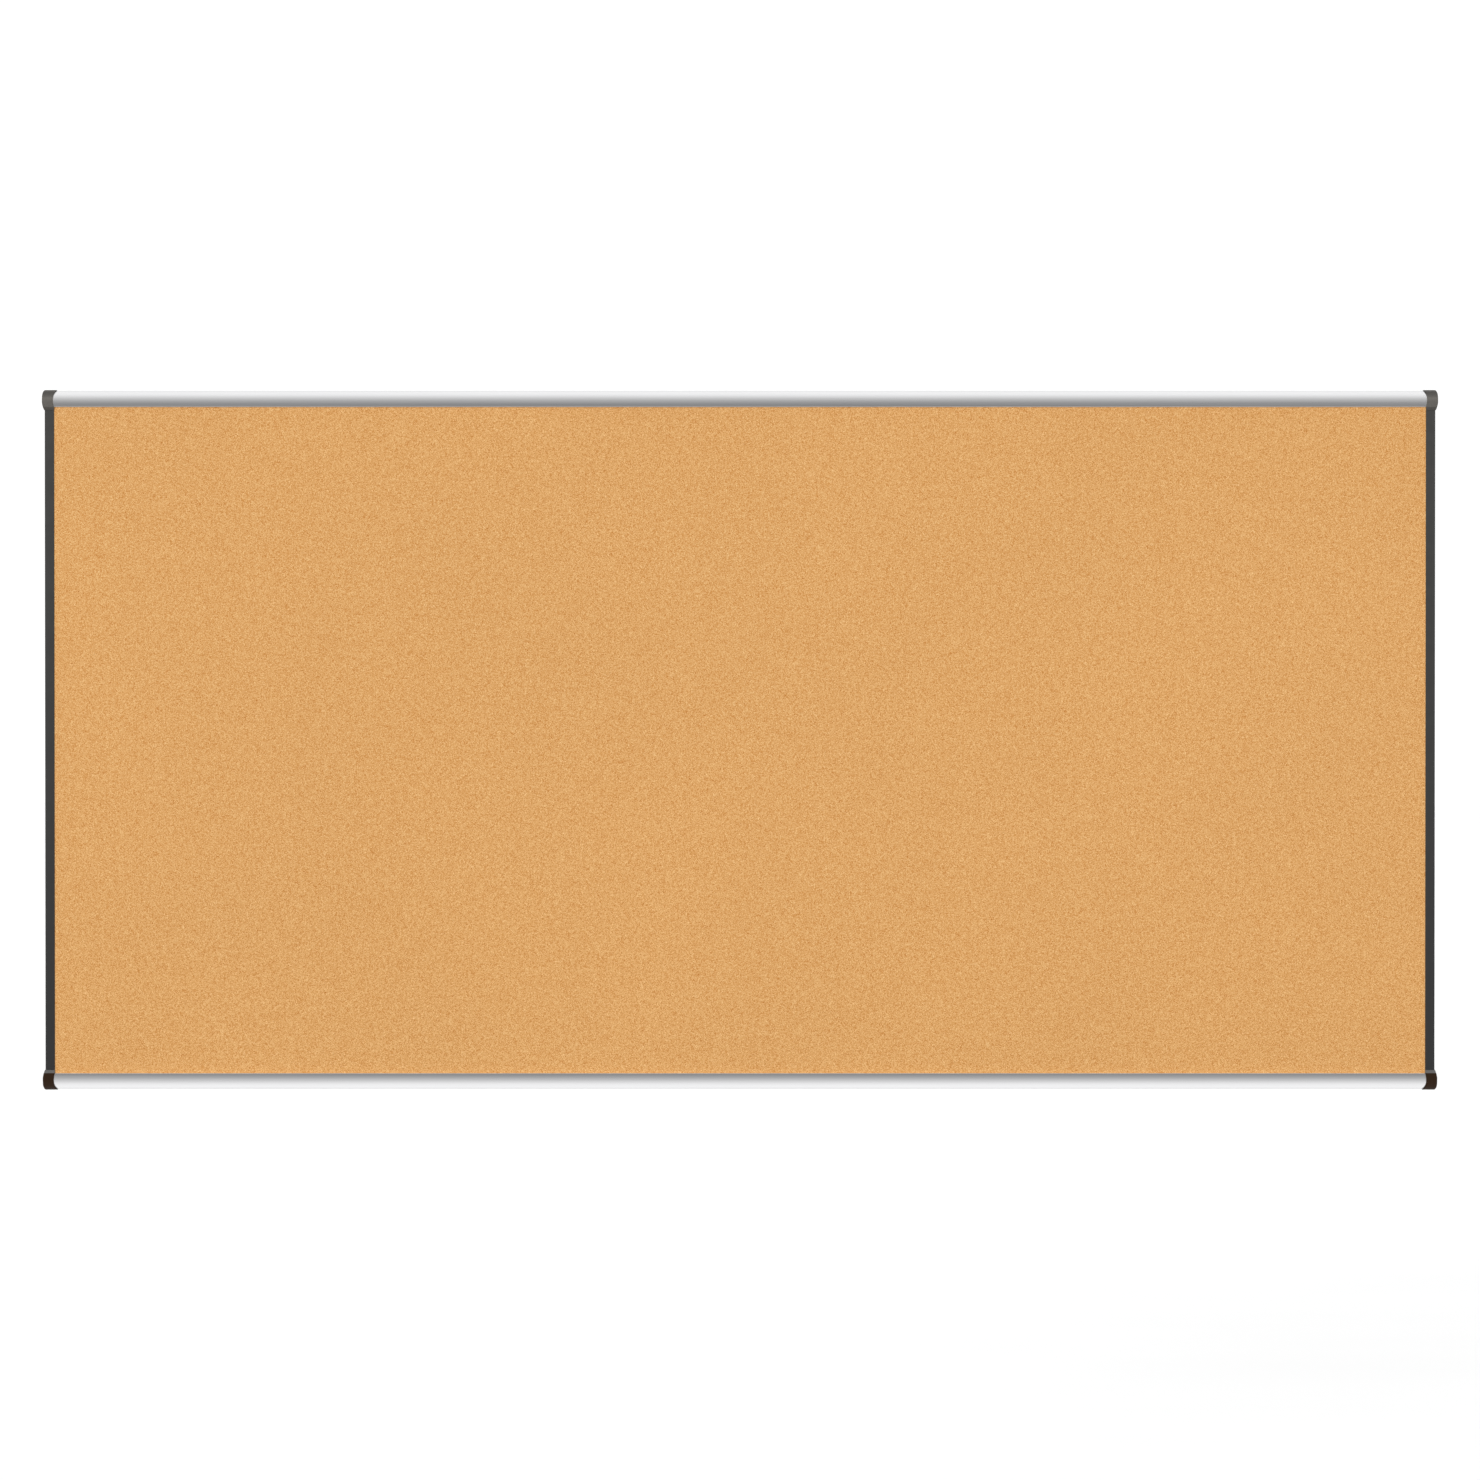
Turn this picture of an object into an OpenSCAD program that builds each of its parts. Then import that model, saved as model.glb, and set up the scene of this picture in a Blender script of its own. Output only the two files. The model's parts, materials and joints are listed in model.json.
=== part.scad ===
// Wall-mounted cork bulletin board in an aluminium frame with moulded corner caps.
// Frame: +X to the right, +Z up, the front faces -Y. The origin is the board's centre on the wall plane.
// Sections across a rail use two lengths: p, out from the wall, and q, in from the rail's outer edge.
// Sections across a side trim use p and u, in from the outermost side of the caps. All sizes in mm.

/* [Board] */
// Overall width, over the corner caps
board_w = 2438.4; // [1800:0.1:2440]
// Height over the outer edges of the two rails
board_h = 1221.6; // [900:0.1:1222]

/* [Panel] */
// Thickness of the cork face
cork_t = 3.2; // [2:0.1:3.5]
// Thickness of the fibreboard core
core_t = 9; // [8:0.1:9]
// Thickness of the backing sheet
backing_t = 0.5; // [0.3:0.1:0.6]
// How far the panel's side edges are in from the outermost side of the caps
panel_inset = 6.35; // [6.3:0.05:6.8]

/* [Rails] */
// Height of a rail's face
rail_h = 28.5; // [26:0.5:30]
// Distance from the wall to the crest of a rail
rail_depth = 25.4; // [24:0.1:28]
// Thickness of a rail's curved front
skin_t = 1.6; // [1.4:0.1:1.8]
// Thickness of the lip at the rear of a rail
lip_t = 1.6; // [1.4:0.1:1.8]
// Clear width of the hanger groove behind a rail
groove_w = 3.2; // [3.2:0.1:3.6]
// Thickness of the back wall behind the panel
back_wall_t = 1.5; // [1.2:0.1:1.6]
// Depth from a rail's outer edge to the floor of its panel channel
channel_q = 12.5; // [12.5:0.1:13]

/* [Side trims] */
// Width of a side trim's face
trim_w = 16.5; // [14:0.5:18]
// How far a side trim is in from the outermost side of the caps
trim_inset = 4.7; // [4.5:0.1:4.7]
// Wall thickness of a side trim
trim_t = 1.5; // [1.2:0.1:1.5]

/* [Corner caps] */
// Wall of a cap's collar over the rail
cap_wall = 1.1; // [1:0.1:1.4]
// Length of the sloped shoulder that covers the end of a side trim
shoulder_l = 5.6; // [5:0.1:9]
// Depth of the end block between a cap's outer side and the end of the rail
end_block = 13.8; // [13:0.1:15]
// How far the horn reaches inward past the narrowest part of the collar
horn_reach = 5.4; // [4:0.1:9]

/* [Hangers] */
// Distance between the left and right hangers at rest, three stud spacings
hanger_pitch = 1219.2; // [800:0.1:1300]
// Width of a hanger plate
hanger_w = 80; // [60:1:100]
// Thickness of the hanger's sheet steel
sheet_t = 1.3; // [1:0.1:1.3]
// Distance from a rail's outer edge to the centre of a keyhole's entry
keyhole_q = 39.3; // [34:0.1:42]
// Radius of the keyhole's entry
entry_r = 5.5; // [5:0.1:6]
// Width of the keyhole's slot
slot_w = 5.2; // [4.5:0.1:5.4]
// Length from the entry's centre to the end of the slot's centre line
slot_run = 10; // [9:0.5:11]

/* [Screws] */
// Screws along each rail, from behind
rail_screws_n = 6; // [4:1:8]
// Screws along each side trim, from behind
trim_screws_n = 3; // [2:1:5]
// Length of a rear screw's shank
rear_screw_l = 10; // [8:0.5:10]
// Length of a cap screw's shank
cap_screw_l = 25; // [20:1:30]

/* [Hidden] */
$fn = 64;

fit = 0.1;                                   // gap between parts that are pushed together
over = 1;                                    // how far a cutting shape runs past what it cuts

// Depths, out from the wall
back_p = lip_t + groove_w;                   // rear of the rails' back walls and of the side trims
panel_back_p = back_p + back_wall_t + fit;
core_back_p = panel_back_p + backing_t;
cork_back_p = core_back_p + core_t;
cork_front_p = cork_back_p + cork_t;
trim_front_p = cork_front_p + 2 * fit + trim_t;

// Panel
panel_w = board_w - 2 * panel_inset;
panel_q = channel_q + 2 * fit;               // outer edge of the panel
panel_h = board_h - 2 * panel_q;

// Rails
web_t = 1.5;
web_q = channel_q - web_t;                   // top of the web between the chamber and the panel channel
rail_l = board_w - 2 * (end_block + fit);
front_steps = 36;                            // facets of the quarter-ellipse front
lip_q = 13.2;                                // free edge of the rear lip
lip_return_t = 1.6;                          // thickness of the lip's turned-in edge
lip_return_p = 2.8;                          // how far out the turned-in edge reaches
port_p = 12.4;
port_wall_r = 3.2;
port_q = web_q - port_wall_r + 0.5;          // the port's wall runs into the web
port_r = 2.05;
port_slot = 1.4;

// Side trims
trim_end_q = rail_h + 2 * fit;               // end of a side trim, just inside the rail
trim_l = board_h - 2 * trim_end_q;
trim_corner_r = 1.2;

// Corner caps
collar_grow = cap_wall + fit;                // how far the cap stands outside the rail
shoulder_q = rail_h + shoulder_l;
shoulder_front_p = trim_front_p + fit + cap_wall;
crown_u = 5.2;                               // width of the rounded outer corner
crown_q = 11;                                // where the rounded outer corner meets the straight side
waist_q = 19;                                // where the side starts to draw in to the shoulder
waist_u = trim_inset - 1;                    // how far it has drawn in at the foot
waist_bend = 1.6;                            // power of the side's curve from the waist to the foot
collar_u = 19.4;                             // narrowest part of the collar
collar_q = 14.7;
collar_foot_u = trim_inset + trim_w;
horn_bend = 2.4;                             // power of the collar's curve out to the horn
outline_steps = 14;
tongue_l = 12;                               // length of the tongues that plug the rail
tongue_t = 2;                                // thickness of the tongue in the chamber
tongue_gap = 0.3;                            // play of the tongues

// Screws
cap_screw_r = 2;
cap_bore_r = 2.2;
cap_head_r = 3.9;
cap_head_h = 2.6;
cap_recess_r = 4.4;
cap_recess_u = 4.2;                          // floor of the recess for the head
rear_screw_r = 1.5;
rear_head_r = 3.2;
rear_head_h = 1.9;
rear_hole_r = 1.7;
rear_pilot_r = 1.55;
rear_pilot_l = rear_screw_l + 0.4;
head_rim = 0.6;                              // rounding of a head's rim, as a share of the head's height
head_slot = 0.24;                            // width of a head's cross, as a share of the head's radius
head_slot_z = 0.45;                          // floor of a head's cross, as a share of the head's height
rail_screw_q = 20;
rail_screw_margin = 80;                      // from the end of a rail to its first screw
rail_screw_pitch = (rail_l - 2 * rail_screw_margin) / (rail_screws_n - 1);
rail_screw_x = [for (i = [0 : rail_screws_n - 1]) (i - (rail_screws_n - 1) / 2) * rail_screw_pitch];
trim_screw_u = trim_inset + (trim_t + trim_w) / 2;     // middle of the trim's rear leg
trim_screw_margin = 130;                     // from the end of a trim to its first screw
trim_screw_pitch = (trim_l - 2 * trim_screw_margin) / (trim_screws_n - 1);
trim_screw_z = [for (i = [0 : trim_screws_n - 1]) (i - (trim_screws_n - 1) / 2) * trim_screw_pitch];

// Hangers
flange_l = 20;                               // from a keyhole's entry to the free edge of its plate
flange_q = keyhole_q + flange_l;
flange_corner_r = 8;
hem_gap = 0.3;                               // play of the hem in the groove
tongue_front_p = back_p - hem_gap;
tongue_back_p = tongue_front_p - sheet_t;
hem_back_p = tongue_back_p - sheet_t;
hem_q = lip_t + hem_gap;                     // folded edge of the hem
hem_end_q = lip_q - lip_return_t - 0.4;      // free edge of the hem
bend_q = lip_q + 0.2;                        // where the plate bends towards the wall
bend_l = 3;                                  // length of the bend along the plate
bend_shift = 0.5;                            // offset of the bend's front line, which keeps its thickness

// Maps (p, q) onto the section plane of the top rail, as (Y, Z).
module from_top_edge() translate([0, board_h / 2]) rotate(180) children();

// Maps (u, p) onto the section plane of the right side trim, as (X, Y).
module from_right_side() translate([board_w / 2, 0]) rotate(180) children();

// Maps (u, q) onto the front plane at the top right corner, as (X, Z).
module from_corner() translate([board_w / 2, board_h / 2]) rotate(180) children();

// Extrudes a (Y, Z) section along X from one place to another.
module along_x(from, to) translate([from, 0, 0]) rotate([90, 0, 90]) linear_extrude(to - from) children();

// Extrudes an (X, Z) outline from the wall out to a depth.
module out_from_wall(depth)
    translate([0, over, 0]) rotate([90, 0, 0]) linear_extrude(depth + over) children();

// A rectangle given by two opposite corners.
module span(low, high) translate(low) square(high - low);

// A box given by two opposite corners.
module block(low, high) translate(low) cube(high - low);

// Points along an arc, from one angle to another.
function arc(centre, r, from, to, steps) =
    [for (i = [0 : steps]) let (a = from + (to - from) * i / steps) centre + r * [cos(a), sin(a)]];

// The rail's quarter-ellipse front as (p, q), grown outward by g: outer edge at 90 degrees, crest at 0.
function rail_front(g) =
    [for (i = [0 : front_steps]) let (a = 90 * (1 - i / front_steps))
        [back_p + (rail_depth - back_p + g) * cos(a), rail_h - (rail_h + g) * sin(a)]];

module rail_outline() polygon(concat([[0, 0]], rail_front(0), [[0, rail_h]]));

module rail_inside() polygon(concat(rail_front(-skin_t), [[back_p, rail_h]]));

// The chamber behind the outer part of the front.
module rail_chamber() intersection() {
    rail_inside();
    span([back_p + back_wall_t, 0], [rail_depth, web_q]);
}

// The channel that holds the panel, with its mouth between the back wall and the turned-in front edge.
module rail_channel() {
    intersection() {
        rail_inside();
        span([back_p + back_wall_t, channel_q], [rail_depth, rail_h - skin_t]);
    }
    span([back_p + back_wall_t, rail_h - skin_t - over], [cork_front_p + fit, rail_h + over]);
}

// The groove that holds the hangers, open inwards past the turned-in edge of the lip.
module rail_groove() {
    span([lip_t, lip_t], [back_p, lip_q - lip_return_t]);
    span([lip_return_p, lip_t], [back_p, lip_q]);
    span([-over, lip_q], [back_p, rail_h + over]);
}

module screw_port() difference() {
    translate([port_p, port_q]) circle(port_wall_r);
    translate([port_p, port_q]) circle(port_r);
    span([port_p - port_slot / 2, port_q - port_wall_r - over], [port_p + port_slot / 2, port_q]);
}

module rail_section() {
    difference() {
        rail_outline();
        rail_chamber();
        rail_channel();
        rail_groove();
    }
    screw_port();
}

// Holes on the rear of the panel for the rail screws, from the wall to a depth.
module rail_screw_holes(r, depth) for (x = rail_screw_x)
    translate([x, 0, board_h / 2 - rail_screw_q]) rotate([90, 0, 0]) cylinder(depth, r, r);

module rail() difference() {
    along_x(-rail_l / 2, rail_l / 2) from_top_edge() rail_section();
    rail_screw_holes(rear_hole_r, panel_back_p);
}

module trim_section() difference() {
    polygon(concat(
        [[trim_inset, back_p], [collar_foot_u, back_p]],
        arc([collar_foot_u - trim_t / 2, trim_front_p - trim_t / 2], trim_t / 2, 0, 90, 5),
        arc([trim_inset + trim_corner_r, trim_front_p - trim_corner_r], trim_corner_r, 90, 180, 6)));
    span([trim_inset + trim_t, back_p + back_wall_t], [collar_foot_u + over, trim_front_p - trim_t]);
}

// Holes on the rear of the panel for the side trim screws, from the wall to a depth.
module trim_screw_holes(r, depth) for (z = trim_screw_z)
    translate([board_w / 2 - trim_screw_u, 0, z]) rotate([90, 0, 0]) cylinder(depth, r, r);

module side_trim() difference() {
    translate([0, 0, -trim_l / 2]) linear_extrude(trim_l) from_right_side() trim_section();
    trim_screw_holes(rear_hole_r, panel_back_p);
}

// One layer of the panel, as a plain sheet between two depths.
module panel_layer(back, front)
    block([-panel_w / 2, -front, -panel_h / 2], [panel_w / 2, -back, panel_h / 2]);

// Pilot holes under every rear screw.
module pilot_holes() {
    for (flip = [0, 1]) mirror([0, 0, flip]) rail_screw_holes(rear_pilot_r, back_p + rear_pilot_l);
    for (flip = [0, 1]) mirror([flip, 0, 0]) trim_screw_holes(rear_pilot_r, back_p + rear_pilot_l);
}

// The cap seen from the front, as (u, q): rounded corner, straight side, drawn-in foot, and the collar's
// hollow edge that sweeps out to the horn.
function cap_crown() = [for (i = [0 : outline_steps]) let (a = 90 * i / outline_steps)
    [crown_u * (1 - sin(a)), crown_q - (crown_q + collar_grow) * cos(a)]];
function cap_waist() = [for (i = [0 : outline_steps]) let (s = i / outline_steps)
    [waist_u * pow(s, waist_bend), waist_q + (shoulder_q - waist_q) * s]];
function collar_edge(q) = q > collar_q
    ? collar_u + (collar_foot_u - collar_u) * pow((q - collar_q) / (rail_h - collar_q), 2)
    : collar_u + horn_reach * pow((collar_q - q) / (collar_q + collar_grow), horn_bend);
function cap_collar() = [for (i = [0 : 2 * outline_steps])
    let (q = rail_h - (rail_h + collar_grow) * i / (2 * outline_steps)) [collar_edge(q), q]];

module cap_front_outline()
    polygon(concat(cap_crown(), cap_waist(), [[collar_foot_u, shoulder_q]], cap_collar()));

// The cap seen from the side, as (p, q): over the rail, down the shoulder, and back to the wall.
module cap_side_outline() polygon(concat(
    [[0, -collar_grow]], rail_front(collar_grow),
    [[shoulder_front_p, shoulder_q], [back_p - cap_wall - fit, shoulder_q],
     [back_p - cap_wall - fit, rail_h + fit], [0, rail_h + fit]]));

module cap_screw_axis(u)
    translate([board_w / 2 - u, -port_p, board_h / 2 - port_q]) rotate([0, 90, 0]) children();

// What the cap leaves free: the rail's end, the panel's corner and the end of the side trim.
module cap_sockets() {
    along_x(board_w / 2 - 2 * end_block, board_w / 2 - end_block) from_top_edge()
        polygon(concat([[-over, -fit]], rail_front(fit),
            [[rail_depth + fit, rail_h + fit], [-over, rail_h + fit]]));
    block([board_w / 2 - 2 * end_block, -cork_front_p - fit, board_h / 2 - shoulder_q - over],
          [board_w / 2 - panel_inset + fit, -panel_back_p + fit, board_h / 2 - panel_q + fit]);
    block([board_w / 2 - 2 * end_block, -trim_front_p - fit, board_h / 2 - shoulder_q - over],
          [board_w / 2 - trim_inset + fit, -back_p + fit, board_h / 2 - trim_end_q + fit]);
}

// Two tongues that plug the hanger groove and the chamber of the rail, and stop the hangers.
module cap_tongues() {
    low_x = board_w / 2 - end_block - tongue_l;
    high_x = board_w / 2 - end_block + over;
    chamber_p = back_p + back_wall_t + tongue_gap;
    along_x(low_x, high_x) from_top_edge() {
        span([lip_t + tongue_gap, lip_t + 2 * tongue_gap],
             [back_p - tongue_gap, lip_q - lip_return_t - 2 * tongue_gap]);
        span([chamber_p, skin_t + 1], [chamber_p + tongue_t, web_q - tongue_gap]);
    }
}

module cap() {
    difference() {
        intersection() {
            out_from_wall(rail_depth + 2 * collar_grow) from_corner() cap_front_outline();
            along_x(board_w / 2 - 2 * end_block, board_w / 2 + over) from_top_edge() cap_side_outline();
        }
        cap_sockets();
        cap_screw_axis(2 * end_block) cylinder(2 * end_block + over, cap_bore_r, cap_bore_r);
        cap_screw_axis(cap_recess_u) cylinder(cap_recess_u + over, cap_recess_r, cap_recess_r);
    }
    cap_tongues();
}

// A pan-head screw: its head stands above z = 0 and its shank runs down from there.
module pan_screw(head_r, head_h, shank_r, length) {
    point_l = 1.5 * shank_r;
    rim_r = head_h * head_rim;
    slot_t = head_r * head_slot;
    difference() {
        rotate_extrude() polygon(concat(
            [[0, 0], [head_r, 0]], arc([head_r - rim_r, head_h - rim_r], rim_r, 0, 90, 4), [[0, head_h]]));
        for (turn = [0, 90]) rotate(turn)
            translate([-head_r / 2, -slot_t / 2, head_h * head_slot_z]) cube([head_r, slot_t, head_h]);
    }
    translate([0, 0, point_l - length]) cylinder(length - point_l, shank_r, shank_r);
    translate([0, 0, -length]) cylinder(point_l, shank_r * 0.25, shank_r);
}

module rear_screw() translate([0, -back_p, 0]) rotate([-90, 0, 0])
    pan_screw(rear_head_r, rear_head_h, rear_screw_r, rear_screw_l);

// A hanger plate's section, as (p, q): hem and tongue in the groove, a bend to the wall, and the flange.
module hanger_section() polygon([
    [hem_back_p, hem_q], [tongue_front_p, hem_q], [tongue_front_p, bend_q + bend_shift],
    [sheet_t, bend_q + bend_shift + bend_l], [sheet_t, flange_q], [0, flange_q], [0, bend_q + bend_l],
    [tongue_back_p, bend_q], [tongue_back_p, hem_end_q], [hem_back_p, hem_end_q]]);

// A hanger plate from the front, centred on X = 0, with its two free corners rounded, as (X, Z).
module hanger_front() {
    z_low = board_h / 2 - flange_q;
    polygon(concat(
        [[-hanger_w / 2, board_h / 2], [hanger_w / 2, board_h / 2]],
        arc([hanger_w / 2 - flange_corner_r, z_low + flange_corner_r], flange_corner_r, 0, -90, 8),
        arc([-hanger_w / 2 + flange_corner_r, z_low + flange_corner_r], flange_corner_r, -90, -180, 8)));
}

// A keyhole through a hanger plate. slot_way is 1 where the slot runs towards the rail and -1 away from it.
module keyhole(slot_way) translate([0, over, board_h / 2 - keyhole_q]) rotate([90, 0, 0]) {
    depth = sheet_t + 2 * over;
    cylinder(depth, entry_r, entry_r);
    translate([0, slot_way * slot_run, 0]) cylinder(depth, slot_w / 2, slot_w / 2);
    translate([-slot_w / 2, min(0, slot_way * slot_run), 0]) cube([slot_w, slot_run, depth]);
}

// A hanger plate in the top rail's groove, at X = 0.
module hanger(slot_way) difference() {
    intersection() {
        along_x(-hanger_w / 2, hanger_w / 2) from_top_edge() hanger_section();
        out_from_wall(back_p) hanger_front();
    }
    keyhole(slot_way);
}

module cork_sheet() color("burlywood") panel_layer(cork_back_p, cork_front_p);

module fibreboard_core() color("peru") difference() {
    panel_layer(core_back_p, cork_back_p);
    pilot_holes();
}

module backing_sheet() color("tan") difference() {
    panel_layer(panel_back_p, core_back_p);
    pilot_holes();
}

module top_rail() color("silver") rail();

module bottom_rail() color("silver") mirror([0, 0, 1]) rail();

module right_trim() color("darkslategray") side_trim();

module left_trim() color("darkslategray") mirror([1, 0, 0]) side_trim();

module top_right_cap() color("dimgray") cap();

module top_left_cap() color("dimgray") mirror([1, 0, 0]) cap();

module bottom_right_cap() color("dimgray") mirror([0, 0, 1]) cap();

module bottom_left_cap() color("dimgray") rotate([0, 180, 0]) cap();

module cap_screws() color("gray") for (flip_x = [0, 1], flip_z = [0, 1])
    mirror([flip_x, 0, 0]) mirror([0, 0, flip_z])
        cap_screw_axis(cap_recess_u) pan_screw(cap_head_r, cap_head_h, cap_screw_r, cap_screw_l);

module rail_screws() color("gray") for (x = rail_screw_x, side = [-1, 1])
    translate([x, 0, side * (board_h / 2 - rail_screw_q)]) rear_screw();

module trim_screws() color("gray") for (z = trim_screw_z, side = [-1, 1])
    translate([side * (board_w / 2 - trim_screw_u), 0, z]) rear_screw();

module top_left_hanger() color("lightgray") translate([-hanger_pitch / 2, 0, 0]) hanger(1);

module top_right_hanger() color("lightgray") translate([hanger_pitch / 2, 0, 0]) hanger(1);

module bottom_left_hanger() color("lightgray")
    translate([-hanger_pitch / 2, 0, 0]) mirror([0, 0, 1]) hanger(-1);

module bottom_right_hanger() color("lightgray")
    translate([hanger_pitch / 2, 0, 0]) mirror([0, 0, 1]) hanger(-1);

cork_sheet();
fibreboard_core();
backing_sheet();
top_rail();
bottom_rail();
left_trim();
right_trim();
top_left_cap();
top_right_cap();
bottom_left_cap();
bottom_right_cap();
cap_screws();
rail_screws();
trim_screws();
top_left_hanger();
top_right_hanger();
bottom_left_hanger();
bottom_right_hanger();
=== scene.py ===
"""Looks of a wall-mounted cork bulletin board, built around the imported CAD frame.

Sections use p, out from the wall, q, in from a rail's outer edge, and u, in from the outermost side of the
corner caps, all in millimetres. +X is to the right, +Z up, and the cork faces -Y.
"""

import json
import math

import bmesh
import bpy
from mathutils import Matrix, Vector, noise
from mathutils.geometry import tessellate_polygon


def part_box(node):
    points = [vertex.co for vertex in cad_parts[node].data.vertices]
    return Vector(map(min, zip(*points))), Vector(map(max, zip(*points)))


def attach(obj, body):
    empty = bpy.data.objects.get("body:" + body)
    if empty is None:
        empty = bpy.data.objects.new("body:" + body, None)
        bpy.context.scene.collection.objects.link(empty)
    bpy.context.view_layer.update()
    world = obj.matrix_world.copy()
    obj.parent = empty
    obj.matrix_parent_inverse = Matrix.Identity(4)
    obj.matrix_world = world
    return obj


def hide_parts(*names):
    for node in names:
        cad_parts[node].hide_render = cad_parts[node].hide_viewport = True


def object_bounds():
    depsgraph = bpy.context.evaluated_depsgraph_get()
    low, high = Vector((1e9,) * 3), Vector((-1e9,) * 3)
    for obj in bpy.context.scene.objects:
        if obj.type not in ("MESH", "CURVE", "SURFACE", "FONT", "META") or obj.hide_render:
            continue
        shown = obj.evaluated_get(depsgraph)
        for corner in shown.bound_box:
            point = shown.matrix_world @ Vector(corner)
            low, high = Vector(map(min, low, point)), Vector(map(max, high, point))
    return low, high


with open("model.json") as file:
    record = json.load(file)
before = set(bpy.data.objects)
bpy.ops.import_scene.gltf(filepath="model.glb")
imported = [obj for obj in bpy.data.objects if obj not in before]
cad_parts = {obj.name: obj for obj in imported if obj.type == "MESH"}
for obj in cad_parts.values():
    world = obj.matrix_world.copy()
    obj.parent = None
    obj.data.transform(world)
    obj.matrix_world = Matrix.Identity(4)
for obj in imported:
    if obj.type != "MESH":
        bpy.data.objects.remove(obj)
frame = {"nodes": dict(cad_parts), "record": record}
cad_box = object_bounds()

MM = 0.001
PAST = 5.0                          # how far a cutting tool reaches past what it cuts, in millimetres
SHARP = math.radians(34)            # edges that turn by more than this stay sharp

# Places that the frame gives, in millimetres.
CAP_LOW, CAP_HIGH = (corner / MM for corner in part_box("top_right_cap"))
RAIL_LOW, RAIL_HIGH = (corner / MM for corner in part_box("top_rail"))
TRIM_LOW, TRIM_HIGH = (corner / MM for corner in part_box("right_trim"))
CORK_LOW, CORK_HIGH = (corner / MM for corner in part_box("cork_sheet"))
SIDE_X = CAP_HIGH.x
EDGE_Z = RAIL_HIGH.z
RAIL_H = RAIL_HIGH.z - RAIL_LOW.z
RAIL_DEPTH = -RAIL_LOW.y
BACK_P = -TRIM_HIGH.y
CORK_P = -CORK_LOW.y
TRIM_P = -TRIM_LOW.y
TRIM_U = SIDE_X - TRIM_HIGH.x
TRIM_FOOT_U = SIDE_X - TRIM_LOW.x
COLLAR_GROW = CAP_HIGH.z - RAIL_HIGH.z
SHOULDER_Q = EDGE_Z - CAP_LOW.z
RAIL_END_U = SIDE_X - RAIL_HIGH.x

# Wall thicknesses and gaps of the extrusions and mouldings, which the frame's boxes don't show.
FIT = 0.1
SKIN_T = 1.6
BACK_WALL_T = 1.5
LIP_T = 1.6
LIP_Q = 13.2
LIP_RETURN_P = 2.8
CHANNEL_Q = 12.5
WEB_Q = 11.0
TRIM_T = 1.5
PORT_P, PORT_Q = 12.4, 8.3          # centre of the screw port inside a rail
PORT_R, PORT_WALL_R, PORT_SLOT = 2.05, 3.2, 1.4


# ---------------------------------------------------------------------------------------------------------
# Outlines


def fillet(corners, steps=5):
    """A closed outline of (a, b, radius) corners as points, with each corner rounded to its radius."""
    points = []
    for i, (a, b, r) in enumerate(corners):
        here = Vector((a, b))
        if r == 0:
            points.append(here)
            continue
        to_last = (Vector(corners[i - 1][:2]) - here).normalized()
        to_next = (Vector(corners[(i + 1) % len(corners)][:2]) - here).normalized()
        half = to_last.angle(to_next) / 2
        centre = here + (to_last + to_next).normalized() * r / math.sin(half)
        start = here + to_last * r / math.tan(half) - centre
        end = here + to_next * r / math.tan(half) - centre
        turn = start.angle_signed(end)
        for k in range(steps + 1):
            swing = -turn * k / steps
            c, s = math.cos(swing), math.sin(swing)
            points.append(centre + Vector((start.x * c - start.y * s, start.x * s + start.y * c)))
    return points


def sharp(points):
    """Points as corners without rounding."""
    return [(a, b, 0) for a, b in points]


def arc(a, b, r, start, end, steps):
    """Points on a circle about (a, b), from one angle to another."""
    turns = [start + (end - start) * k / steps for k in range(steps + 1)]
    return [(a + r * math.cos(turn), b + r * math.sin(turn)) for turn in turns]


def circle(a, b, r, steps=40):
    return arc(a, b, r, 0.0, math.tau, steps)[:-1]


def rectangle(low_a, low_b, high_a, high_b):
    return [(low_a, low_b), (high_a, low_b), (high_a, high_b), (low_a, high_b)]


def rail_front(grow, from_q, to_q, steps):
    """Points (p, q) of the rail's quarter-ellipse front, grown outward, evenly spaced by angle."""
    reach_p, reach_q = RAIL_DEPTH - BACK_P + grow, RAIL_H + grow

    def angle(q):
        return math.acos(max(-1.0, min(1.0, (RAIL_H - q) / reach_q)))

    first, last = angle(from_q), angle(to_q)
    turns = [first + (last - first) * i / steps for i in range(steps + 1)]
    return [(BACK_P + reach_p * math.sin(a), RAIL_H - reach_q * math.cos(a)) for a in turns]


def rail_loops():
    """The rail's section: its outline with channel and groove, and its closed chamber."""
    wall_p = BACK_P + BACK_WALL_T
    front = sharp(rail_front(0, 0, RAIL_H, 44)[:-1])
    inside = sharp(rail_front(-SKIN_T, CHANNEL_Q, RAIL_H - SKIN_T, 10)[::-1])
    outline = fillet(
        [(0, 0, 0.5)] + front + [(RAIL_DEPTH, RAIL_H, 0.7), (CORK_P + FIT, RAIL_H, 0.3)]
        + [(CORK_P + FIT, RAIL_H - SKIN_T, 0)] + inside
        + [(wall_p, CHANNEL_Q, 0), (wall_p, RAIL_H, 0.3), (BACK_P, RAIL_H, 0.3), (BACK_P, LIP_T, 0)]
        + [(LIP_T, LIP_T, 0), (LIP_T, LIP_Q - LIP_T, 0), (LIP_RETURN_P, LIP_Q - LIP_T, 0.3)]
        + [(LIP_RETURN_P, LIP_Q, 0.3), (0, LIP_Q, 0.5)]
    )
    wall_share = BACK_WALL_T / (RAIL_DEPTH - BACK_P - SKIN_T)
    chamber_top = RAIL_H - (RAIL_H - SKIN_T) * math.sqrt(1 - wall_share ** 2)
    chamber_front = rail_front(-SKIN_T, chamber_top, WEB_Q, 12)
    chamber = fillet(sharp([(wall_p, WEB_Q)] + chamber_front + port_loop()))
    return [outline, chamber]


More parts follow.
